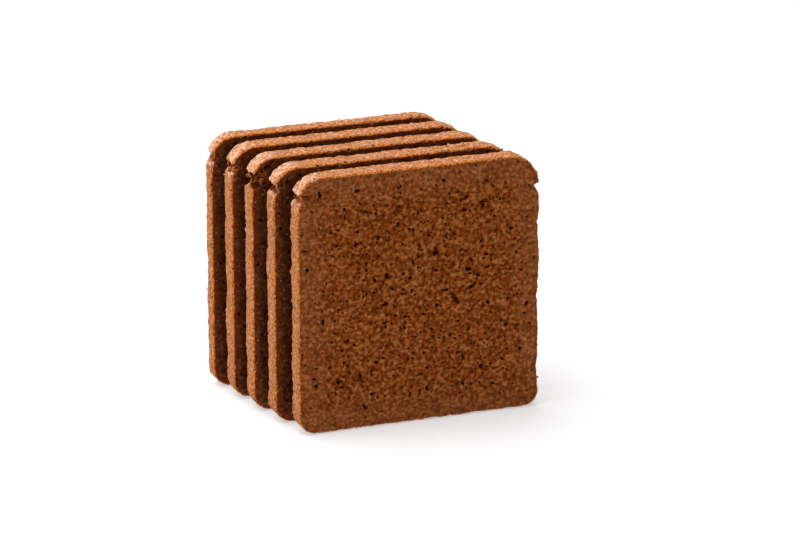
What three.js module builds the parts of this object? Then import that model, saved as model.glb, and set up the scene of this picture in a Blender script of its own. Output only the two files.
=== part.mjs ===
// A cut block of pumpernickel: five thin square slices standing one behind another.
//
// Millimetres, +Z up. The origin is on the table, under the middle of the block. The slices'
// cut faces look along Y, with the front slice at -Y, and each slice stands a little further
// to the left (-X) than the one in front of it.

import * as THREE from 'three';

// ---- Driving dimensions ----

const sliceWidth = 100; // across the cut face
const sliceHeight = 104; // table to the top crust
const sliceThickness = 9.1; // an ordinary slice
const endSliceThickness = 7.6; // the last slice of the block is a little thinner
const slicePitch = 15.8; // front face to front face

// How far each slice has slid to the left, from the front slice to the back one.
const slides = [0, 4.3, 7.8, 10.8, 14.0];

// The top crust ends in a lip on each side, with a small crack under it where the crust came
// away from the side. The lip's angle is measured around the shoulder, down from the top.
// Below the crack each side is a row of shallow scallops, down to a tighter foot corner.
const leftSide = {
  direction: -1,
  shoulderRadius: 10.5,
  lipAngle: 70,
  crackDepth: 1.9,
  crackHeight: 4.6,
  scallopDepth: 0.3,
  footRadius: 7.5,
};
const rightSide = {
  direction: 1,
  shoulderRadius: 13,
  lipAngle: 86,
  crackDepth: 2.0,
  crackHeight: 3.6,
  scallopDepth: 0.7,
  footRadius: 6,
};

// Heights at which one scallop meets the next, from the foot up.
const scallopJoints = [16, 45.5, 75.5];

const curveSegments = 10;

// ---- Derived sizes ----

const sliceCount = slides.length;
const halfWidth = sliceWidth / 2;
const blockDepth = (sliceCount - 1) * slicePitch + endSliceThickness;
const blockSlide = slides[sliceCount - 1];
const quarterTurn = Math.PI / 2;

// ---- The outline of a slice ----

// Where one side's top corner lies: the centre of its arc, how far the arc turns before the
// crust's lip, the lip's tip, the bottom of the crack and the place under it where the side
// begins.
function topCorner(side) {
  const { direction, shoulderRadius, crackDepth, crackHeight, scallopDepth } = side;
  const turn = THREE.MathUtils.degToRad(side.lipAngle);
  const centre = new THREE.Vector2(
    direction * (halfWidth - shoulderRadius),
    sliceHeight - shoulderRadius,
  );
  const tip = new THREE.Vector2(
    centre.x + direction * shoulderRadius * Math.sin(turn),
    centre.y + shoulderRadius * Math.cos(turn),
  );
  const crack = new THREE.Vector2(tip.x - direction * crackDepth, tip.y - crackHeight / 3);
  const sideTop = new THREE.Vector2(direction * (halfWidth - scallopDepth), tip.y - crackHeight);
  return { centre, turn, tip, crack, sideTop };
}

// The heights where a side is at its foot corner, pinched between scallops, and at its top.
function sideHeights(side, sideTop) {
  return [side.footRadius, ...scallopJoints, sideTop.y];
}

// Draws the scallops through the given heights. Each one bulges out to the slice's full width.
function addScallops(shape, side, heights) {
  const reach = (height) => halfWidth - (height === side.footRadius ? 0 : side.scallopDepth);
  for (let i = 1; i < heights.length; i += 1) {
    const start = reach(heights[i - 1]);
    const end = reach(heights[i]);
    const bulge = 2 * halfWidth - Math.max(start, end);
    const middle = (heights[i - 1] + heights[i]) / 2;
    shape.quadraticCurveTo(side.direction * bulge, middle, side.direction * end, heights[i]);
  }
}

// Anticlockwise from the left end of the flat foot.
function sliceOutline() {
  const left = topCorner(leftSide);
  const right = topCorner(rightSide);
  const leftFootX = leftSide.footRadius - halfWidth;
  const rightFootX = halfWidth - rightSide.footRadius;
  const shape = new THREE.Shape();

  shape.moveTo(leftFootX, 0);
  shape.lineTo(rightFootX, 0);
  shape.absarc(rightFootX, rightSide.footRadius, rightSide.footRadius, -quarterTurn, 0, false);
  addScallops(shape, rightSide, sideHeights(rightSide, right.sideTop));

  shape.lineTo(right.crack.x, right.crack.y);
  shape.lineTo(right.tip.x, right.tip.y);
  shape.absarc(right.centre.x, right.centre.y, rightSide.shoulderRadius,
    quarterTurn - right.turn, quarterTurn, false);
  shape.absarc(left.centre.x, left.centre.y, leftSide.shoulderRadius,
    quarterTurn, quarterTurn + left.turn, false);
  shape.lineTo(left.crack.x, left.crack.y);

  shape.lineTo(left.sideTop.x, left.sideTop.y);
  addScallops(shape, leftSide, sideHeights(leftSide, left.sideTop).reverse());
  shape.absarc(leftFootX, leftSide.footRadius, leftSide.footRadius,
    2 * quarterTurn, 3 * quarterTurn, false);
  return shape;
}

// ---- The slices ----

// A slice stands on the table with its front face at y = 0 and its thickness towards +Y.
function makeSlice(name, thickness) {
  const geometry = new THREE.ExtrudeGeometry(sliceOutline(), {
    depth: thickness,
    bevelEnabled: false,
    curveSegments,
  });
  geometry.rotateX(quarterTurn);
  geometry.translate(0, thickness, 0);
  const bread = new THREE.MeshStandardMaterial({
    color: 0x6e4120,
    roughness: 0.92,
    metalness: 0,
  });
  const slice = new THREE.Mesh(geometry, bread);
  slice.name = name;
  return slice;
}

// ---- The block ----

const block = new THREE.Group();

for (let fromFront = 0; fromFront < sliceCount; fromFront += 1) {
  const atBack = fromFront === sliceCount - 1;
  const thickness = atBack ? endSliceThickness : sliceThickness;
  const slice = makeSlice(`slice_${sliceCount - fromFront}`, thickness);
  slice.position.x = blockSlide / 2 - slides[fromFront];
  slice.position.y = fromFront * slicePitch - blockDepth / 2;
  block.add(slice);
}

export default block;
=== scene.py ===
"""A cut block of pumpernickel: five thin square slices standing one behind another.

Each slice is carved out of a small volume of bread. A distance field, sampled on a grid,
starts as the slice's CAD outline between its two cut planes. Noise roughens it, pores and
tears are cut into it and crumbs are added to it, and its zero surface becomes the mesh.
Lengths are in millimetres until a mesh is made; the frame and Blender are in metres.
"""

import math

import bpy
import numpy as np
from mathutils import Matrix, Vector


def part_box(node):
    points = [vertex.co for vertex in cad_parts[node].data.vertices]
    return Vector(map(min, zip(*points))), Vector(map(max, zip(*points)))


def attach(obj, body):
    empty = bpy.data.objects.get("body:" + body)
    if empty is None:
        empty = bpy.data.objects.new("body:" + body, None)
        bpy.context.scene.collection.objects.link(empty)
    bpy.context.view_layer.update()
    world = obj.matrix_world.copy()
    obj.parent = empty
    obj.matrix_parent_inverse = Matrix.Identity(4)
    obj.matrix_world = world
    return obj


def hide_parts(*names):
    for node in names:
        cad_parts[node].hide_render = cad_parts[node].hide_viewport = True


MM = 0.001

# ---- What is given ----

SLICE_NAMES = ["slice_1", "slice_2", "slice_3", "slice_4", "slice_5"]
FRONT_SLICE = "slice_5"
BACK_SLICE = "slice_1"
FIRST_SEED = 40  # each slice draws its own pores, crumbs and noise

VOXEL = 0.35  # grid step
MARGIN = 1.0  # empty grid around a slice
FAR = 9.0  # a distance well clear of any surface
INSET = 0.34  # the bread stays inside its CAD outline by this much, before it is roughened
FACE_INSET = 0.18  # the same at the two cut faces
BOX_GAP = 0.02  # and once roughened, inside its CAD box by at least this much
ARRIS_RADIUS = 0.7  # the round of the edge between crust and cut face
TRIANGLE_BUDGET = 190_000  # each slice's mesh

# Noise on crust, cut faces and tears: (size of a lump, how far it moves the surface).
CRUST_LUMPS = [(12.0, 0.04), (2.6, 0.06), (1.1, 0.10)]
FACE_LUMPS = [(14.0, 0.04), (2.4, 0.05), (1.3, 0.06)]
TEAR_LUMPS = [(2.4, 0.25), (1.2, 0.30)]

PORES_PER_FACE = 1350
PORE_RADIUS = 0.35  # the middle one of all sizes
PORE_SPREAD = 0.32  # of the logarithm of the radius
PORE_RADIUS_LIMIT = 1.0
PORE_STRETCH = 0.45  # how much longer than round most pores are
PORE_REACH = (1.6, 2.6)  # into the bread, in pore radii
PORE_SINK = (0.1, 0.5)  # of its reach: how far a pore's middle lies behind the face
PORE_LEAN = -0.7  # radians: most pores are drawn out along one diagonal
PORE_LEAN_SPREAD = 0.7
PORES_IN_RIM = 0.30  # of the density in the middle
PORE_RIM_DEPTH = (3.0, 21.6)  # where the pores begin and stop growing commoner
PORE_CLEARANCE = 0.8  # whole bread left between a pore and the crust

# The largest holes of the front face: (x, z, length, width, how far the hole leans in degrees).
LARGE_HOLES = [
    (14.7, 48.7, 6.2, 1.7, -60.0),
    (19.0, 89.3, 2.6, 1.5, 35.0),
    (18.4, 84.3, 2.2, 1.5, 15.0),
    (-16.9, 77.0, 1.9, 1.5, 70.0),
    (6.6, 69.7, 1.9, 1.6, 60.0),
    (-2.8, 65.6, 2.8, 1.2, -60.0),
    (28.3, 45.6, 2.2, 1.3, -40.0),
    (44.7, 43.0, 2.2, 1.6, 50.0),
]
LARGE_HOLE_SINK = 0.4  # of its width: how far a hole's middle lies behind the face

CHIPS_PER_SLICE = 260
CHIP_RADII = (0.3, 0.6)
CHIP_SPREAD = 1.0  # how far from a cut edge most chips lie
CRUMBS_PER_SLICE = 40
CRUMB_RADII = (0.3, 0.55)
CRUMB_SPREAD = 1.6
EDGE_SINK = 0.85  # chips and crumbs follow an outline narrower than the slice by this much
EDGE_WANDER = 0.3  # and stray this far from it

# Where the top crust came away from the side: the centre and radius of each top corner, and
# the angle, down from the top, at which the crust's lip ends.
LEFT_SHOULDER = {"side": -1, "centre": (-39.5, 93.5), "radius": 10.5, "lip": 70.0}
RIGHT_SHOULDER = {"side": 1, "centre": (37.0, 91.0), "radius": 13.0, "lip": 86.0}

# Each slice's tear: how far the crust gapes below its lip and how far the tear runs on under
# the crust, in degrees round the shoulder, and the size of its bites.
LEFT_TEARS = {
    "slice_1": (6.0, 4.0, 0.6), "slice_2": (17.0, 24.0, 1.2), "slice_3": (22.0, 46.0, 1.7),
    "slice_4": (9.0, 20.0, 1.2), "slice_5": (9.0, 3.0, 0.7),
}
RIGHT_TEARS = {
    "slice_1": (6.0, 8.0, 0.6), "slice_2": (8.0, 14.0, 0.7), "slice_3": (5.0, 10.0, 0.6),
    "slice_4": (6.0, 12.0, 0.6), "slice_5": (1.0, 1.0, 0.4),
}
TEAR_STEP = 1.4  # degrees
BITES_PER_STEP = 4
BITE_SIZES = (0.4, 1.1)  # of the tear's own
BITE_LENGTH = 1.3  # along the crust, in bite sizes
BITE_WIDTHS = (0.7, 1.6)  # across the slice
BITE_TURN_SPREAD = 0.8  # radians
BITE_ANGLE_SPREAD = 2.0  # degrees
BITE_DEPTH_SPREAD = 0.6
TEAR_DEPTH = 3.0  # under the crust's surface
GAPE_DEPTH = 1.3
TEAR_NARROWING = 0.6  # how much smaller the bites are at the tear's inner end
LIP_THICKNESS = 1.4  # of the crust that stays above a tear
LIP_TAPER = 8.0  # degrees over which the lip thins out to nothing
TEAR_CRUMBS = 0.8  # for each degree that a tear runs
TEAR_CRUMB_RADII = (0.3, 0.6)
TEAR_CRUMB_DEPTH = 1.2

# How much of the lip's end is taken off at its front and at its back corner, and where.
LIP_FRONT_BITE = (1.5, 2.1)
LIP_BACK_BITE = (1.1, 1.5)
LIP_BITE_ANGLE = 5.0  # degrees below the lip's end
LIP_BITE_DEPTH = -0.3  # just outside the crust

# Where the material's parts begin and end, as a pair of values for a smooth step: depths below
# the crust, and how much a surface faces sideways, up or down.
CRUST_DEPTH = (1.1, 1.6)
CRUST_FACING = (0.45, 0.8)
SHELL_WIDTH = 3.0  # the browned layer just under the crust
RIM_DEPTH = (2.4, 16.0)  # the dense band of crumb behind the crust
TORN_DEPTH = (0.5, 1.4)
TORN_REACH_FRONT, TORN_REACH_BACK = 2.6, 1.2  # along the crust, from each cut face
UNDERSIDE_SHADE_FACING = (0.2, 0.8)
TORN_SHADED_UNDERNEATH = 0.7  # of the torn edge's colour, taken off as painted shade where the surface faces down
HOLLOW_DEPTH = (0.35, 1.1)
GAP_SHADE_DEPTH = (-2.5, 5.5)
TEAR_ZONE_DEPTH = (5.0, 7.0)
TEAR_ZONE_FADE = 3.0  # degrees
# Flour, more on the left shoulder and on crust that faces up: partly real flour, partly a painted
# highlight where the crust faces the lamps.
FLOUR_AND_HIGHLIGHT_FACING = (0.3, 0.8)
FLOUR_AND_HIGHLIGHT_ON_TOP = 0.4  # of the flour and painted highlight on the left shoulder, given to crust that faces up
FLOUR_AND_HIGHLIGHT_X = (-43.0, -34.0)  # the left shoulder, which faces the lamps
FLOUR_AND_HIGHLIGHT_Z = (88.0, 95.0)

# Display colours, from 0 to 255.
GRAIN_DARK, GRAIN_MIDDLE, GRAIN_PALE = (70, 21, 2), (129, 63, 16), (172, 110, 62)
CRUMB_RED, CRUMB_YELLOW, RIM_GREY = (152, 66, 26), (124, 68, 26), (142, 94, 60)
# The first of these is painted shade, for holes finer than the mesh.
PIT_SHADE, DULL_BIT, BRIGHT_BIT = (48, 14, 1), (190, 128, 82), (206, 150, 104)
# Browned crumb under the crust; laid on much more strongly in the gaps between slices, as painted
# shade.
SHELL_BROWN_AND_SHADE = (110, 40, 12)
CRUST_DARK, CRUST_PALE, CRUST_MOTTLE = (92, 44, 18), (204, 136, 88), (156, 88, 48)
FLOUR_AND_HIGHLIGHT = (208, 173, 152)
TORN_DARK, TORN_PALE = (84, 34, 8), (224, 134, 62)

# What the bread's colour is multiplied by as painted shade: on cut faces that look onto the next
# slice, and inside a hollow.
GAP_SHADE_TINT = (0.30, 0.28, 0.36, 1.0)
HOLLOW_SHADE_TINT = (0.52, 0.42, 0.38, 1.0)


# ---- Noise on a grid ----

def spline_weights(fraction):
    """The four weights of a cubic B-spline at a fraction of the way between two knots."""
    f = fraction
    return (
        (1 - f) ** 3 / 6,
        (3 * f**3 - 6 * f**2 + 4) / 6,
        (-3 * f**3 + 3 * f**2 + 3 * f + 1) / 6,
        f**3 / 6,
    )


def smooth_noise(shape, lump, rng):
    """Noise with a standard deviation of 1 and lumps of the given size, on a voxel grid."""
    knots = [int(math.ceil(n * VOXEL / lump)) + 4 for n in shape]
    noise = rng.standard_normal(knots).astype(np.float32)
    for axis in np.argsort(shape):
        place = np.arange(shape[axis]) * (VOXEL / lump)
        knot = np.floor(place).astype(int)
        weights = spline_weights((place - knot).astype(np.float32))
        along = [1] * len(shape)
        along[axis] = -1
        noise = sum(
            np.take(noise, knot + step, axis=axis) * weight.reshape(along)
            for step, weight in enumerate(weights)
        )
    return noise / noise.std()


def roughness_of(shape, lumps, rng):
    """The sum of several sizes of lump, in millimetres of surface movement."""
    return sum(depth * smooth_noise(shape, lump, rng) for lump, depth in lumps)


def step_up(low, high, value):
    """0 below low, 1 above high, smooth between."""
    t = np.clip((value - low) / (high - low), 0.0, 1.0)
    return t * t * (3 - 2 * t)


# ---- The slice's outline, from its CAD node ----

def cad_outline(node):
    """The closed outline of a slice's front face: (x, z) pairs around the slice's middle."""
    mesh = bpy.data.objects[node].data
    low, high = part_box(node)
    middle = (low[0] + high[0]) / 2
    front = low[1]
    tolerance = 1e-5
    following = {}
    for polygon in mesh.polygons:
        corners = [mesh.vertices[i].co for i in polygon.vertices]
        if abs(polygon.normal.y) > 0.5:
            continue
        for a, b in zip(corners, corners[1:] + corners[:1]):
            if abs(a.y - front) < tolerance and abs(b.y - front) < tolerance:
                start = (round(a.x, 7), round(a.z, 7))
                following[start] = (round(b.x, 7), round(b.z, 7))
    point = next(iter(following))
    outline = []
    for _ in following:
        outline.append(point)
        point = following[point]
    return (np.array(outline) - (middle, 0.0)) / MM


def evenly_spaced(outline, step):
    """Points along an outline, about a step apart."""
    closed = np.vstack([outline, outline[:1]])
    lengths = np.concatenate(([0.0], np.cumsum(np.hypot(*np.diff(closed, axis=0).T))))
    places = np.linspace(0.0, lengths[-1], int(lengths[-1] / step), endpoint=False)
    return np.stack([np.interp(places, lengths, closed[:, i]) for i in (0, 1)], axis=1)


def outline_distance(outline, x, z):
    """Signed distance from the outline over a grid, negative inside."""
    px, pz = np.meshgrid(x, z, indexing="ij")
    nearest = np.full(px.shape, np.inf)
    inside = np.zeros(px.shape, bool)
    for (ax, az), (bx, bz) in zip(outline, np.roll(outline, -1, axis=0)):
        ex, ez = bx - ax, bz - az
        along = ((px - ax) * ex + (pz - az) * ez) / (ex * ex + ez * ez)
        along = np.clip(along, 0.0, 1.0)
        nearest = np.minimum(nearest, np.hypot(px - ax - along * ex, pz - az - along * ez))
        if az != bz:
            crosses = ((az > pz) != (bz > pz)) & (px < (bx - ax) * (pz - az) / (bz - az) + ax)
            inside ^= crosses
    return np.where(inside, -nearest, nearest).astype(np.float32)


def hull_depth(outline, x, z):
    """How deep each grid point lies inside the outline's convex hull."""
    depth = np.full((len(x), len(z)), np.inf, np.float32)
    for angle in np.linspace(0.0, 2 * math.pi, 360, endpoint=False):
        out_x, out_z = math.cos(angle), math.sin(angle)
        furthest = (outline @ (out_x, out_z)).max()
        depth = np.minimum(depth, furthest - out_x * x[:, None] - out_z * z[None, :])
    return depth


# ---- The volume of one slice ----

class Volume:
    """A block of voxels round one slice. x runs across the slice from its middle, y from its
    front face to its back face and z up from the table."""

    def __init__(self, thickness, width, height):
        self.thickness = thickness
        self.x = np.arange(-width / 2 - MARGIN, width / 2 + MARGIN, VOXEL, dtype=np.float32)
        self.y = np.arange(-MARGIN, thickness + MARGIN, VOXEL, dtype=np.float32)
        self.z = np.arange(-MARGIN, height + MARGIN, VOXEL, dtype=np.float32)
        self.shape = (len(self.x), len(self.y), len(self.z))
        self.distance = None  # from the CAD outline, negative inside
        self.field = None  # from the bread's surface, negative inside

    def window(self, centre, reach):
        """The slices of the grid within reach of a point, and their coordinates from it."""
        parts, local = [], []
        for axis, middle in zip((self.x, self.y, self.z), centre):
            first = max(int((middle - reach - axis[0]) / VOXEL), 0)
            last = min(int((middle + reach - axis[0]) / VOXEL) + 2, len(axis))
            parts.append(slice(first, max(last, first)))
            local.append(axis[parts[-1]] - middle)
        return tuple(parts), np.meshgrid(*local, indexing="ij", sparse=True)

    def blob(self, centre, radii, turn):
        """An ellipsoid's distance field near its surface, turned about y: (window, field)."""
        window, (x, y, z) = self.window(centre, max(radii) * 1.5 + VOXEL)
        c, s = math.cos(turn), math.sin(turn)
        along, across = c * x + s * z, c * z - s * x
        size = float(np.cbrt(np.prod(radii)))
        scaled = np.sqrt((along / radii[0]) ** 2 + (y / radii[1]) ** 2 + (across / radii[2]) ** 2)
        return window, (scaled - 1.0) * size

    def carve(self, centre, radii, turn):
        """Takes an ellipsoid away."""
        window, blob = self.blob(centre, radii, turn)
        self.field[window] = np.maximum(self.field[window], -blob)

    def add(self, centre, radii, turn):
        """Adds an ellipsoid."""
        window, blob = self.blob(centre, radii, turn)
        self.field[window] = np.minimum(self.field[window], blob)


def shoulder_place(shoulder, angle, depth, y):
    """A point under the crust of a top corner, at an angle in degrees down from the top."""
    radius = shoulder["radius"] - depth
    centre_x, centre_z = shoulder["centre"]
    turn = math.radians(angle)
    x = centre_x + shoulder["side"] * radius * math.sin(turn)
    return x, y, centre_z + radius * math.cos(turn)


def shoulder_angle(shoulder, x, z):
    """How far round a top corner a place lies, in degrees down from the top."""
    centre_x, centre_z = shoulder["centre"]
    return np.degrees(np.arctan2(shoulder["side"] * (x - centre_x), z - centre_z))


def carve_tear(volume, shoulder, tear, rng):
    """A ragged hollow under the top crust. It opens in the crack below the crust's lip and
    runs on round the shoulder, narrower as it goes."""
    gape, reach, bite = tear
    lip = shoulder["lip"]
    hollow = np.full(volume.shape, FAR, np.float32)
    for step in np.arange(-gape, reach, TEAR_STEP):
        middle_depth = TEAR_DEPTH if step > 0 else GAPE_DEPTH
        narrowing = 1.0 - TEAR_NARROWING * max(step, 0.0) / reach
        for _ in range(BITES_PER_STEP):
            angle = lip - step + rng.normal(0.0, BITE_ANGLE_SPREAD)
            size = bite * narrowing * rng.uniform(*BITE_SIZES)
            depth = middle_depth + rng.normal(0.0, BITE_DEPTH_SPREAD)
            centre = shoulder_place(shoulder, angle, depth, rng.uniform(0.0, volume.thickness))
            radii = (size * BITE_LENGTH, size * rng.uniform(*BITE_WIDTHS), size)
            window, blob = volume.blob(centre, radii, rng.normal(0.0, BITE_TURN_SPREAD))
            hollow[window] = np.minimum(hollow[window], blob)
    hollow += roughness_of(volume.shape, TEAR_LUMPS, rng)
    angle = shoulder_angle(shoulder, volume.x[:, None], volume.z[None, :])
    roof = volume.distance + LIP_THICKNESS * (1.0 - step_up(lip - LIP_TAPER, lip, angle))
    hollow = np.maximum(hollow, roof[:, None, :])
    volume.field = np.maximum(volume.field, -hollow)

    for _ in range(int(TEAR_CRUMBS * (gape + reach))):
        angle = lip + rng.uniform(-reach, gape)
        depth = rng.uniform(TEAR_CRUMB_DEPTH, TEAR_DEPTH)
        y = rng.uniform(0.0, volume.thickness)
        size = rng.uniform(*TEAR_CRUMB_RADII)
        radii = (size * rng.uniform(0.8, 1.5), size, size)
        volume.add(shoulder_place(shoulder, angle, depth, y), radii, rng.uniform(0.0, math.pi))


def round_lip(volume, shoulder, rng):
    """Takes the two corners off the end of the top crust, so that it ends in a blunt tongue."""
    for y, bite in ((0.0, LIP_FRONT_BITE), (volume.thickness, LIP_BACK_BITE)):
        size = rng.uniform(*bite)
        angle = shoulder["lip"] + LIP_BITE_ANGLE
        centre = shoulder_place(shoulder, angle, LIP_BITE_DEPTH, y)
        volume.carve(centre, (size, size * 1.1, size), 0.0)


def carve_pores(volume, face_y, inward, rng):
    """Pores open at one cut face, few in the dense rim and many in the middle."""
    made = 0
    while made < PORES_PER_FACE:
        x, z = rng.uniform(volume.x[0], volume.x[-1]), rng.uniform(0.0, volume.z[-1])
        column = int((x - volume.x[0]) / VOXEL), int((z - volume.z[0]) / VOXEL)
        depth_in = -volume.distance[column]
        size = PORE_RADIUS * math.exp(rng.normal(0.0, PORE_SPREAD))
        size = min(size, PORE_RADIUS_LIMIT)
        stretch = 1.0 + abs(rng.normal(0.0, PORE_STRETCH))
        chance = PORES_IN_RIM + (1.0 - PORES_IN_RIM) * step_up(*PORE_RIM_DEPTH, depth_in)
        if depth_in < PORE_CLEARANCE + size * stretch or rng.random() > chance:
            continue
        radii = (size * stretch, size * rng.uniform(*PORE_REACH), size / stretch**0.4)
        centre = (x, face_y + inward * rng.uniform(*PORE_SINK) * radii[1], z)
        volume.carve(centre, radii, rng.normal(PORE_LEAN, PORE_LEAN_SPREAD))
        made += 1


def carve_large_holes(volume):
    """The holes of the front face that stand out."""
    for x, z, length, width, lean in LARGE_HOLES:
        radii = (length / 2, width, width / 2)
        volume.carve((x, LARGE_HOLE_SINK * width, z), radii, math.radians(lean))


def cut_edge_place(volume, rim, spread, rng):
    """A random place on the crust, close to one of the slice's two cut edges."""
    x, z = rim[rng.integers(len(rim))] + rng.normal(0.0, EDGE_WANDER, 2)
    inward = abs(rng.normal(0.0, spread))
    return x, rng.choice([inward, volume.thickness - inward]), z


def chip_edges(volume, rim, rng):
    """Small bites out of the crust, most of them along the cut edges."""
    for _ in range(CHIPS_PER_SLICE):
        size = rng.uniform(*CHIP_RADII)
        radii = (size * rng.uniform(0.9, 1.3), size, size * rng.uniform(0.8, 1.3))
        centre = cut_edge_place(volume, rim, CHIP_SPREAD, rng)
        volume.carve(centre, radii, rng.uniform(0.0, math.pi))


def add_crumbs(volume, rim, rng):
    """Small crumbs half sunk in the crust, most of them along the cut edges."""
    for _ in range(CRUMBS_PER_SLICE):
        size = rng.uniform(*CRUMB_RADII)
        radii = (size * rng.uniform(1.0, 1.5), size, size * rng.uniform(0.8, 1.1))
        centre = cut_edge_place(volume, rim, CRUMB_SPREAD, rng)
        volume.add(centre, radii, rng.uniform(0.0, math.pi))


def rounded_meeting(first, second, radius):
    """Where two distance fields overlap, with the edge between them rounded."""
    past_first = np.maximum(first + radius, 0.0)
    past_second = np.maximum(second + radius, 0.0)
    inner = np.minimum(np.maximum(first, second) + radius, 0.0)
    return np.hypot(past_first, past_second) - radius + inner


def slice_volume(name, outline, thickness, width, height, seed):
    """The finished volume of one slice."""
    rng = np.random.default_rng(seed)
    volume = Volume(thickness, width, height)
    volume.distance = outline_distance(outline, volume.x, volume.z)
    crust = volume.distance[:, None, :] + INSET + roughness_of(volume.shape, CRUST_LUMPS, rng)
    from_middle = np.abs(volume.y - thickness / 2)[None, :, None] - thickness / 2
    cut = from_middle + FACE_INSET + roughness_of(volume.shape, FACE_LUMPS, rng)
    volume.field = rounded_meeting(crust, cut, ARRIS_RADIUS)

    carve_tear(volume, LEFT_SHOULDER, LEFT_TEARS[name], rng)
    carve_tear(volume, RIGHT_SHOULDER, RIGHT_TEARS[name], rng)
    round_lip(volume, LEFT_SHOULDER, rng)
    middle = np.array((0.0, height / 2))
    rim = middle + (evenly_spaced(outline, 1.0) - middle) * (1.0 - EDGE_SINK / width)
    chip_edges(volume, rim, rng)
    add_crumbs(volume, rim, rng)
    carve_pores(volume, 0.0, 1.0, rng)
    carve_pores(volume, thickness, -1.0, rng)
    if name == FRONT_SLICE:
        carve_large_holes(volume)

    past_foot = -volume.z[None, None, :]
    past_top = volume.z[None, None, :] - height
    past_walls = np.abs(volume.x)[:, None, None] - width / 2
    for past_box in (past_foot, past_top, past_walls, from_middle):
        volume.field = np.maximum(volume.field, past_box + BOX_GAP)
    return volume


# ---- From a volume to a mesh ----

def surface_net(volume):
    """The zero surface of a volume as (points, quads). Each cell that the surface crosses
    holds one point, at the mean of the crossings on the cell's edges."""
    field = volume.field
    inside = field < 0
    count = np.zeros(tuple(n - 1 for n in field.shape), np.int8)
    corners = [(i, j, k) for i in (0, 1) for j in (0, 1) for k in (0, 1)]
    for corner in corners:
        count += inside[tuple(slice(c, n - 1 + c) for c, n in zip(corner, field.shape))]
    cells = np.argwhere((count > 0) & (count < 8))
    index = np.full(count.shape, -1, np.int64)
    index[tuple(cells.T)] = np.arange(len(cells))

    total = np.zeros((len(cells), 3))
    crossings = np.zeros(len(cells))
    value = {c: field[tuple((cells + c).T)] for c in corners}
    for axis in range(3):
        for corner in corners:
            if corner[axis]:
                continue
            far = tuple(c + (a == axis) for a, c in enumerate(corner))
            near_value, far_value = value[corner], value[far]
            crosses = (near_value < 0) != (far_value < 0)
            step = np.where(crosses, near_value / np.where(crosses, near_value - far_value, 1), 0)
            total[crosses] += np.array(corner, float)
            total[:, axis] += step
            crossings += crosses
    points = cells + total / crossings[:, None]
    points = points * VOXEL + (volume.x[0], volume.y[0], volume.z[0])

    quads = []
    for axis in range(3):
        before = inside[tuple(slice(0, -1) if a == axis else slice(None) for a in range(3))]
        after = inside[tuple(slice(1, None) if a == axis else slice(None) for a in range(3))]
        edges = np.argwhere(before != after)
        side, up = (axis + 1) % 3, (axis + 2) % 3
        around = []
        for ds, du in ((-1, -1), (0, -1), (0, 0), (-1, 0)):
            cell = edges.copy()
            cell[:, side] += ds
            cell[:, up] += du
            around.append(index[tuple(cell.T)])
        quad = np.stack(around, axis=1)
        leaving = before[tuple(edges.T)]
        quad[~leaving] = quad[~leaving][:, ::-1]
        quads.append(quad)
    return points, np.concatenate(quads)


def largest_part(points, quads):
    """Drops every loose speck, and keeps the one big closed surface."""
    a = np.concatenate([quads.ravel(), quads.ravel()])
    b = np.concatenate([np.roll(quads, -1, axis=1).ravel(), np.roll(quads, 1, axis=1).ravel()])
    label = np.arange(len(points))
    while True:
        low = np.minimum(label[a], label[b])
        joined = label.copy()
        np.minimum.at(joined, label[a], low)
        while not np.array_equal(joined, joined[joined]):
            joined = joined[joined]
        if np.array_equal(joined, label):
            break
        label = joined
    keep = label == np.bincount(label).argmax()
    renumbered = np.cumsum(keep) - 1
    return points[keep], renumbered[quads[keep[quads[:, 0]]]]


def mesh_from(name, points, quads):
    """A mesh of four-sided faces."""
    mesh = bpy.data.meshes.new(name)
    mesh.vertices.add(len(points))
    mesh.vertices.foreach_set("co", points.astype(np.float32).ravel())
    mesh.loops.add(quads.size)
    mesh.loops.foreach_set("vertex_index", quads.astype(np.int32).ravel())
    mesh.polygons.add(len(quads))
    mesh.polygons.foreach_set("loop_start", np.arange(len(quads), dtype=np.int32) * 4)
    mesh.update(calc_edges=True)
    return mesh


def apply_modifiers(piece):
    """Keeps a piece's evaluated shape and drops its modifiers."""
    evaluated = piece.evaluated_get(bpy.context.evaluated_depsgraph_get())
    mesh = bpy.data.meshes.new_from_object(evaluated)
    old = piece.data
    piece.modifiers.clear()
    piece.data = mesh
    bpy.data.meshes.remove(old)


def vertex_values(mesh, name):
    """Every vertex's place ("co") or normal."""
    values = np.zeros(len(mesh.vertices) * 3, np.float32)
    mesh.vertices.foreach_get(name, values)
    return values.reshape(-1, 3)


def set_attribute(mesh, name, values):
    """Stores one value for each vertex."""
    attribute = mesh.attributes.new(name, "FLOAT", "POINT")
    attribute.data.foreach_set("value", values.astype(np.float32))


def sample_grid(grid, x0, z0, x, z):
    """Reads a 2-D grid between its points."""
    gx, gz = (x - x0) / VOXEL, (z - z0) / VOXEL
    i, k = gx.astype(int), gz.astype(int)
    fx, fz = gx - i, gz - k
    low = grid[i, k] * (1 - fx) + grid[i + 1, k] * fx
    high = grid[i, k + 1] * (1 - fx) + grid[i + 1, k + 1] * fx
    return low * (1 - fz) + high * fz


def tear_zone(shoulder, tear, x, z):
    """1 where a tear runs round a top corner, and 0 elsewhere."""
    gape, reach, _ = tear
    first, last = shoulder["lip"] - reach, shoulder["lip"] + gape
    angle = shoulder_angle(shoulder, x, z)
    from_centre = np.hypot(x - shoulder["centre"][0], z - shoulder["centre"][1])
    near = 1.0 - step_up(*TEAR_ZONE_DEPTH, shoulder["radius"] - from_centre)
    begun = step_up(first - TEAR_ZONE_FADE, first, angle)
    ended = step_up(last, last + TEAR_ZONE_FADE, angle)
    return near * begun * (1.0 - ended)


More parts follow.
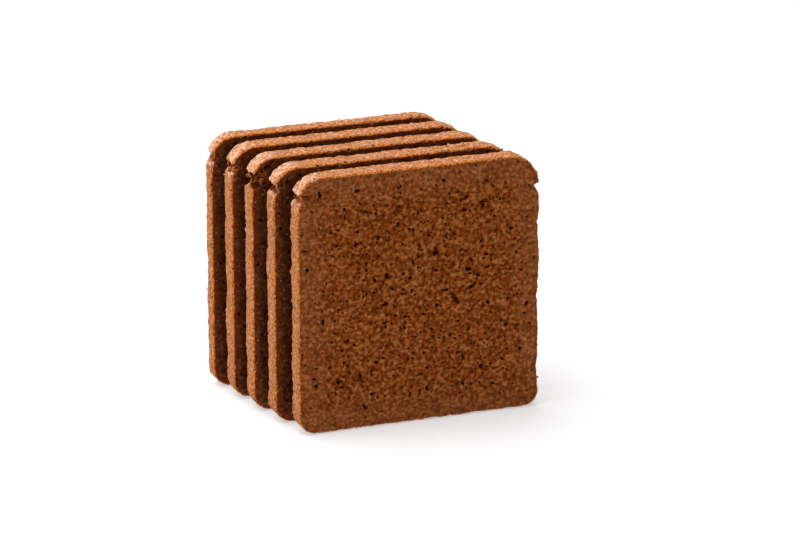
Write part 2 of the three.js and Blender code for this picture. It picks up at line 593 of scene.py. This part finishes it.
def describe_surface(mesh, volume, outline, name):
    """Attributes that the bread's material reads, each from 0 to 1 at every vertex."""
    x, y, z = vertex_values(mesh, "co").T
    normal = vertex_values(mesh, "normal")
    depth = hull_depth(outline, volume.x, volume.z)
    depth_in = sample_grid(depth, volume.x[0], volume.z[0], x, z)
    below_outline = -sample_grid(volume.distance, volume.x[0], volume.z[0], x, z)
    from_cut = np.minimum(y, volume.thickness - y)
    front_half = y < volume.thickness / 2

    sideways = np.hypot(normal[:, 0], normal[:, 2])
    on_crust = step_up(*CRUST_FACING, sideways) * (1.0 - step_up(*CRUST_DEPTH, depth_in))
    torn_reach = np.where(front_half, TORN_REACH_FRONT, TORN_REACH_BACK)
    torn_edge = 1.0 - step_up(0.0, torn_reach, from_cut)
    torn_edge *= 1.0 - step_up(*TORN_DEPTH, depth_in)
    # Painted shade: the torn edge's bright colour fades where the surface faces down.
    torn_edge *= 1.0 - TORN_SHADED_UNDERNEATH * step_up(*UNDERSIDE_SHADE_FACING, -normal[:, 2])
    # Partly flour, partly a painted highlight: the left shoulder and crust that faces up, which
    # face the lamps.
    left_shoulder = (1.0 - step_up(*FLOUR_AND_HIGHLIGHT_X, x)) * step_up(*FLOUR_AND_HIGHLIGHT_Z, z)
    on_top = FLOUR_AND_HIGHLIGHT_ON_TOP * step_up(*FLOUR_AND_HIGHLIGHT_FACING, normal[:, 2])
    # Painted shade: places sunk below both the outline and the cut faces, in tears, chips and
    # pores, are darkened as hollows.
    hollow = step_up(*HOLLOW_DEPTH, np.minimum(below_outline, from_cut))
    recessed = step_up(*HOLLOW_DEPTH, np.minimum(depth_in, from_cut))
    left_tear = tear_zone(LEFT_SHOULDER, LEFT_TEARS[name], x, z)
    right_tear = tear_zone(RIGHT_SHOULDER, RIGHT_TEARS[name], x, z)
    in_tear = recessed * np.maximum(left_tear, right_tear)
    in_gap = np.where(front_half, name != FRONT_SLICE, name != BACK_SLICE)

    set_attribute(mesh, "crust", on_crust)
    set_attribute(mesh, "shell", np.clip(1.0 - depth_in / SHELL_WIDTH, 0.0, 1.0))
    set_attribute(mesh, "rim", 1.0 - step_up(*RIM_DEPTH, depth_in))
    set_attribute(mesh, "torn_edge", np.maximum(torn_edge, in_tear))
    set_attribute(mesh, "flour_and_highlight", np.maximum(left_shoulder, on_top))
    set_attribute(mesh, "hollow", hollow)
    # Painted shade: cut faces that look onto the next slice darken away from the crust.
    set_attribute(mesh, "gap_shade", in_gap * step_up(*GAP_SHADE_DEPTH, depth_in))


# The bake map: the two cut faces side by side, and the four sides of the crust in rows above.
FACE_SCALE = 0.0047  # of the map, for each millimetre
STRIP_SCALE = 0.0092
MAP_GAP = 0.008


def add_bake_map(mesh, volume, width, height):
    """A flat map of the slice, without stretch, for baking its material."""
    places = vertex_values(mesh, "co")
    corner_vertex = np.zeros(len(mesh.loops), np.int32)
    mesh.loops.foreach_get("vertex_index", corner_vertex)
    centres = np.zeros(len(mesh.polygons) * 3, np.float32)
    mesh.polygons.foreach_get("center", centres)
    centres = centres.reshape(-1, 3)
    sizes = np.zeros(len(mesh.polygons), np.int32)
    mesh.polygons.foreach_get("loop_total", sizes)

    crust = np.zeros(len(mesh.vertices), np.float32)
    mesh.attributes["crust"].data.foreach_get("value", crust)
    starts = np.concatenate(([0], np.cumsum(sizes)[:-1]))
    face_crust = np.add.reduceat(crust[corner_vertex], starts) / sizes
    across, up = centres[:, 0] / width, centres[:, 2] / height - 0.5
    island = np.where(centres[:, 1] < volume.thickness / 2, 0, 1)
    on_crust = face_crust > 0.5
    sideways = np.abs(across) > np.abs(up)
    island[on_crust & sideways] = np.where(across < 0, 2, 3)[on_crust & sideways]
    island[on_crust & ~sideways] = np.where(up < 0, 4, 5)[on_crust & ~sideways]

    corner_island = np.repeat(island, sizes)
    x, y, z = places[corner_vertex].T
    x = x + width / 2
    u, v = np.zeros(len(x), np.float32), np.zeros(len(x), np.float32)
    front, back = corner_island == 0, corner_island == 1
    u[front] = MAP_GAP + x[front] * FACE_SCALE
    u[back] = 0.5 + MAP_GAP + (width - x[back]) * FACE_SCALE
    v[front | back] = MAP_GAP + z[front | back] * FACE_SCALE
    row_height = volume.thickness * STRIP_SCALE + 2 * MAP_GAP
    first_row = 2 * MAP_GAP + height * FACE_SCALE
    for row, along in enumerate((z, z, x, x)):
        here = corner_island == row + 2
        u[here] = MAP_GAP + along[here] * STRIP_SCALE
        v[here] = first_row + row * row_height + MAP_GAP + y[here] * STRIP_SCALE
    layer = mesh.uv_layers.new(name="OFBake")
    layer.data.foreach_set("uv", np.stack([u, v], axis=1).ravel())


# ---- Materials ----

class Nodes:
    """A few short ways to build a material's nodes."""

    def __init__(self, name):
        self.material = bpy.data.materials.new(name)
        self.material.use_nodes = True
        self.tree = self.material.node_tree
        self.shader = self.tree.nodes["Principled BSDF"]
        self.place = self.new("ShaderNodeTexCoord").outputs["Object"]

    def new(self, kind, settings=None, **inputs):
        node = self.tree.nodes.new(kind)
        for key, value in (settings or {}).items():
            setattr(node, key, value)
        for key, value in inputs.items():
            self.feed(node.inputs[key.replace("_", " ")], value)
        return node

    def feed(self, socket, value):
        if isinstance(value, bpy.types.NodeSocket):
            self.tree.links.new(value, socket)
        else:
            socket.default_value = value

    def attribute(self, name):
        return self.new("ShaderNodeAttribute", {"attribute_name": name}).outputs["Fac"]

    def noise(self, lump, detail=3.0, rough=0.55):
        """Noise from 0 to 1 with lumps of a size in millimetres."""
        return self.new(
            "ShaderNodeTexNoise", Vector=self.place, Scale=1 / (lump * MM), Detail=detail,
            Roughness=rough,
        ).outputs["Fac"]

    def cells(self, size):
        """Cells of a size in millimetres: how far from the middle, and two random values."""
        cells = self.new("ShaderNodeTexVoronoi", Vector=self.place, Scale=1 / (size * MM))
        draws = self.new("ShaderNodeSeparateColor", Color=cells.outputs["Color"]).outputs
        return cells.outputs["Distance"], draws["Red"], draws["Green"]

    def span(self, value, low, high, to_low=0.0, to_high=1.0, smooth=True):
        """Maps a value from one range to another and holds it at the ends."""
        node = self.new("ShaderNodeMapRange", {"clamp": True})
        node.interpolation_type = "SMOOTHSTEP" if smooth else "LINEAR"
        for key, entry in (
            ("Value", value), ("From Min", low), ("From Max", high),
            ("To Min", to_low), ("To Max", to_high),
        ):
            self.feed(node.inputs[key], entry)
        return node.outputs["Result"]

    def math(self, operation, a, b=0.0):
        node = self.new("ShaderNodeMath", {"operation": operation})
        self.feed(node.inputs[0], a)
        self.feed(node.inputs[1], b)
        return node.outputs["Value"]

    def mix(self, factor, a, b, blend="MIX"):
        node = self.new("ShaderNodeMix", {"data_type": "RGBA", "blend_type": blend})
        self.feed(node.inputs["Factor"], factor)
        self.feed(node.inputs[6], a)
        self.feed(node.inputs[7], b)
        return node.outputs[2]


def linear(display):
    """A display colour from 0 to 255 as linear light."""
    def channel(value):
        value /= 255
        return value / 12.92 if value <= 0.04045 else ((value + 0.055) / 1.055) ** 2.4
    return (*(channel(value) for value in display), 1.0)


def pits_in(n, rim):
    """Holes finer than the mesh, in loose swarms and few in the rim."""
    distance = n.cells(1.5)[0]
    swarms = n.span(n.noise(3.0, detail=1.0), 0.38, 0.52)
    pit = n.math("MULTIPLY", n.span(distance, 0.12, 0.42, 1.0, 0.0), swarms)
    return n.math("MULTIPLY", pit, n.span(rim, 0.0, 1.0, 1.0, 0.75))


def crumb_colour(n, grain, pit, ragged):
    """The crumb: three browns in a fine grain, with pale bits of rye, fine holes painted dark as
    their shade, and painted shade between slices.
    """
    rim, shell = n.attribute("rim"), n.attribute("shell")
    gap_shade = n.attribute("gap_shade")
    crumb = n.mix(n.span(grain, 0.21, 0.51, smooth=False), linear(GRAIN_DARK), linear(GRAIN_MIDDLE))
    crumb = n.mix(n.span(grain, 0.51, 0.80, smooth=False), crumb, linear(GRAIN_PALE))

    # Slow changes of hue, redder and yellower, and a greyer rim.
    hue = n.noise(2.4, detail=1.0)
    crumb = n.mix(n.span(hue, 0.5, 0.75, 0.0, 0.45), crumb, linear(CRUMB_RED))
    crumb = n.mix(n.span(hue, 0.25, 0.5, 0.35, 0.0), crumb, linear(CRUMB_YELLOW))
    crumb = n.mix(n.math("MULTIPLY", rim, 0.22), crumb, linear(RIM_GREY))

    # Holes painted dark as the shade inside them, many dull bits of grain, and a few bright ones
    # that are commoner in the rim.
    crumb = n.mix(n.math("MULTIPLY", pit, 0.7), crumb, linear(PIT_SHADE))
    distance, dull_draw, bright_draw = n.cells(1.9)
    bit = n.span(distance, 0.12, 0.42, 1.0, 0.0)
    dull = n.math("MULTIPLY", bit, n.span(dull_draw, 0.52, 0.76, 0.0, 0.4))
    crumb = n.mix(dull, crumb, linear(DULL_BIT))
    often = n.math("ADD", bright_draw, n.math("MULTIPLY", rim, 0.12))
    bright = n.math("MULTIPLY", bit, n.span(often, 0.955, 0.975, 0.0, 0.75))
    crumb = n.mix(bright, crumb, linear(BRIGHT_BIT))

    # Painted shade in the gaps between slices, deepening away from the crust. Browner just under
    # the crust, where the bread has a browned layer, and much browner there in the gaps, which is
    # painted shade too.
    crumb = n.mix(gap_shade, crumb, GAP_SHADE_TINT, "MULTIPLY")
    browned = n.span(n.math("ADD", shell, ragged), 0.15, 0.6)
    strength = n.math("ADD", n.math("MULTIPLY", gap_shade, 1.2), 0.25)
    return n.mix(n.math("MULTIPLY", browned, strength), crumb, linear(SHELL_BROWN_AND_SHADE))


def crust_colour(n, dust):
    """The crust: dusty tan over a darker brown, with a little flour, more of it on top and on the
    left shoulder, where it is partly a painted highlight.
    """
    skin = n.mix(n.span(dust, 0.30, 0.68, smooth=False), linear(CRUST_DARK), linear(CRUST_PALE))
    mottle = n.noise(3.2, detail=3.0)
    skin = n.mix(n.span(mottle, 0.45, 0.7, 0.0, 0.35), skin, linear(CRUST_MOTTLE))
    # More flour on the left shoulder and on crust that faces up, partly a painted highlight.
    flour_and_highlight = n.math("MULTIPLY", n.attribute("flour_and_highlight"), 0.15)
    powder = n.math("ADD", n.noise(1.7, detail=3.0, rough=0.7), flour_and_highlight)
    return n.mix(n.span(powder, 0.57, 0.70, 0.0, 0.65), skin, linear(FLOUR_AND_HIGHLIGHT))


def bread_material():
    """Dark rye bread: crumb inside, crust outside, and a bright torn edge between the two."""
    n = Nodes("bread")
    grain = n.noise(1.45, detail=0.6, rough=0.5)
    dust = n.noise(0.95, detail=3.0, rough=0.65)
    ragged = n.span(n.noise(1.3, detail=2.0), 0.3, 0.7, -0.25, 0.25)
    pit = pits_in(n, n.attribute("rim"))

    bare = n.mix(n.attribute("crust"), crumb_colour(n, grain, pit, ragged), crust_colour(n, dust))
    torn = n.mix(n.span(dust, 0.32, 0.66, smooth=False), linear(TORN_DARK), linear(TORN_PALE))
    torn_edge = n.math("ADD", n.attribute("torn_edge"), ragged)
    bread = n.mix(n.span(torn_edge, 0.30, 0.75), bare, torn)
    # Painted shade: darker inside hollows.
    bread = n.mix(n.attribute("hollow"), bread, HOLLOW_SHADE_TINT, "MULTIPLY")
    n.feed(n.shader.inputs["Base Color"], bread)
    n.feed(n.shader.inputs["Roughness"], n.span(grain, 0.3, 0.7, 0.80, 0.95))
    n.shader.inputs["Specular IOR Level"].default_value = 0.02

    # Relief that is finer than the mesh.
    height = n.math("ADD", n.noise(1.0, detail=1.0, rough=0.4), n.math("MULTIPLY", pit, -0.8))
    bump = n.new("ShaderNodeBump", Height=height)
    bump.inputs["Strength"].default_value = 0.35
    bump.inputs["Distance"].default_value = 0.4 * MM
    n.feed(n.shader.inputs["Normal"], bump.outputs["Normal"])
    return n.material


# ---- Building the slices ----

def build_slice(name, outline, seed, bread):
    """One slice of bread in the place of its CAD node."""
    low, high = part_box(name)
    width, thickness, height = ((high[i] - low[i]) / MM for i in range(3))
    volume = slice_volume(name, outline, thickness, width, height, seed)
    points, quads = largest_part(*surface_net(volume))
    mesh = mesh_from(name + "_bread", points, quads)
    piece = bpy.data.objects.new(name + "_bread", mesh)
    bpy.context.scene.collection.objects.link(piece)

    thinner = piece.modifiers.new("thinner", "DECIMATE")
    thinner.ratio = min(1.0, TRIANGLE_BUDGET / (2 * len(quads)))
    apply_modifiers(piece)
    mesh = piece.data
    mesh.name = name + "_bread"
    describe_surface(mesh, volume, outline, name)
    add_bake_map(mesh, volume, width, height)

    places = vertex_values(mesh, "co") * MM + ((low[0] + high[0]) / 2, low[1], low[2])
    mesh.vertices.foreach_set("co", places.astype(np.float32).ravel())
    mesh.update()
    mesh.shade_smooth()
    mesh.materials.append(bread)
    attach(piece, "root")
    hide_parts(name)
    return piece


# ---- Floor, light and camera ----

def add_floor():
    """A pale light table, flat and far wider than the block. Its own light softens shadows."""
    bpy.ops.mesh.primitive_plane_add(size=6.0, location=(0.0, 0.0, 0.0))
    floor = bpy.context.object
    floor.name = "floor"
    n = Nodes("floor")
    n.shader.inputs["Base Color"].default_value = (0.5, 0.5, 0.5, 1.0)
    n.shader.inputs["Roughness"].default_value = 0.9
    n.shader.inputs["Emission Color"].default_value = (1.0, 1.0, 1.0, 1.0)
    n.shader.inputs["Emission Strength"].default_value = 0.4
    floor.data.materials.append(n.material)


def add_area_light(name, place, target, size, power):
    data = bpy.data.lights.new(name, "AREA")
    data.shape = "DISK"
    data.size = size
    data.energy = power
    light = bpy.data.objects.new(name, data)
    light.location = place
    light.rotation_euler = (Vector(target) - Vector(place)).to_track_quat("-Z", "Y").to_euler()
    bpy.context.scene.collection.objects.link(light)


def add_world(strength):
    world = bpy.data.worlds.new("studio")
    world.use_nodes = True
    background = world.node_tree.nodes["Background"]
    background.inputs["Color"].default_value = (1.0, 1.0, 1.0, 1.0)
    background.inputs["Strength"].default_value = strength
    bpy.context.scene.world = world


CAMERA_AZIMUTH = -20.5  # degrees: the camera stands to the left of the block's front
CAMERA_ELEVATION = 18.8
CAMERA_DISTANCE = 1.65  # metres
CAMERA_LENS = 189.6
CAMERA_TARGET = (0.0089, -0.0082, 0.0547)  # what the middle of the picture looks at


def add_camera():
    data = bpy.data.cameras.new("camera")
    data.lens = CAMERA_LENS
    data.sensor_width = 36.0
    data.clip_start, data.clip_end = 0.01, 50.0
    camera = bpy.data.objects.new("camera", data)
    azimuth, elevation = math.radians(CAMERA_AZIMUTH), math.radians(CAMERA_ELEVATION)
    back = Vector((
        math.sin(azimuth) * math.cos(elevation),
        -math.cos(azimuth) * math.cos(elevation),
        math.sin(elevation),
    ))
    camera.location = Vector(CAMERA_TARGET) + back * CAMERA_DISTANCE
    camera.rotation_mode = "QUATERNION"
    camera.rotation_quaternion = (-back).to_track_quat("-Z", "Y")
    bpy.context.scene.collection.objects.link(camera)
    bpy.context.scene.camera = camera


# ---- The scene ----

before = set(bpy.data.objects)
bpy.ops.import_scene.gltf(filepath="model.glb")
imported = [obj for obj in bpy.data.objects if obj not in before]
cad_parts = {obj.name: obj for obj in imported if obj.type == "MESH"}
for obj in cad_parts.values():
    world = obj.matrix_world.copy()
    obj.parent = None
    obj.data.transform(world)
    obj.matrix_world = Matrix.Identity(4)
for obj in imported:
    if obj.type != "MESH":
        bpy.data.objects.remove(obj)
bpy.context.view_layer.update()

bread = bread_material()
outline = cad_outline(FRONT_SLICE)
for number, slice_name in enumerate(SLICE_NAMES):
    build_slice(slice_name, outline, FIRST_SEED + number, bread)

add_floor()
add_world(strength=0.35)
middle = (0.0, 0.0, 0.05)
add_area_light("key", place=(-0.4, 0.3, 1.6), target=middle, size=2.2, power=50.0)
add_area_light("side", place=(-1.6, 0.35, 0.5), target=middle, size=0.8, power=9.5)
add_camera()
bpy.context.scene.view_settings.view_transform = "Standard"
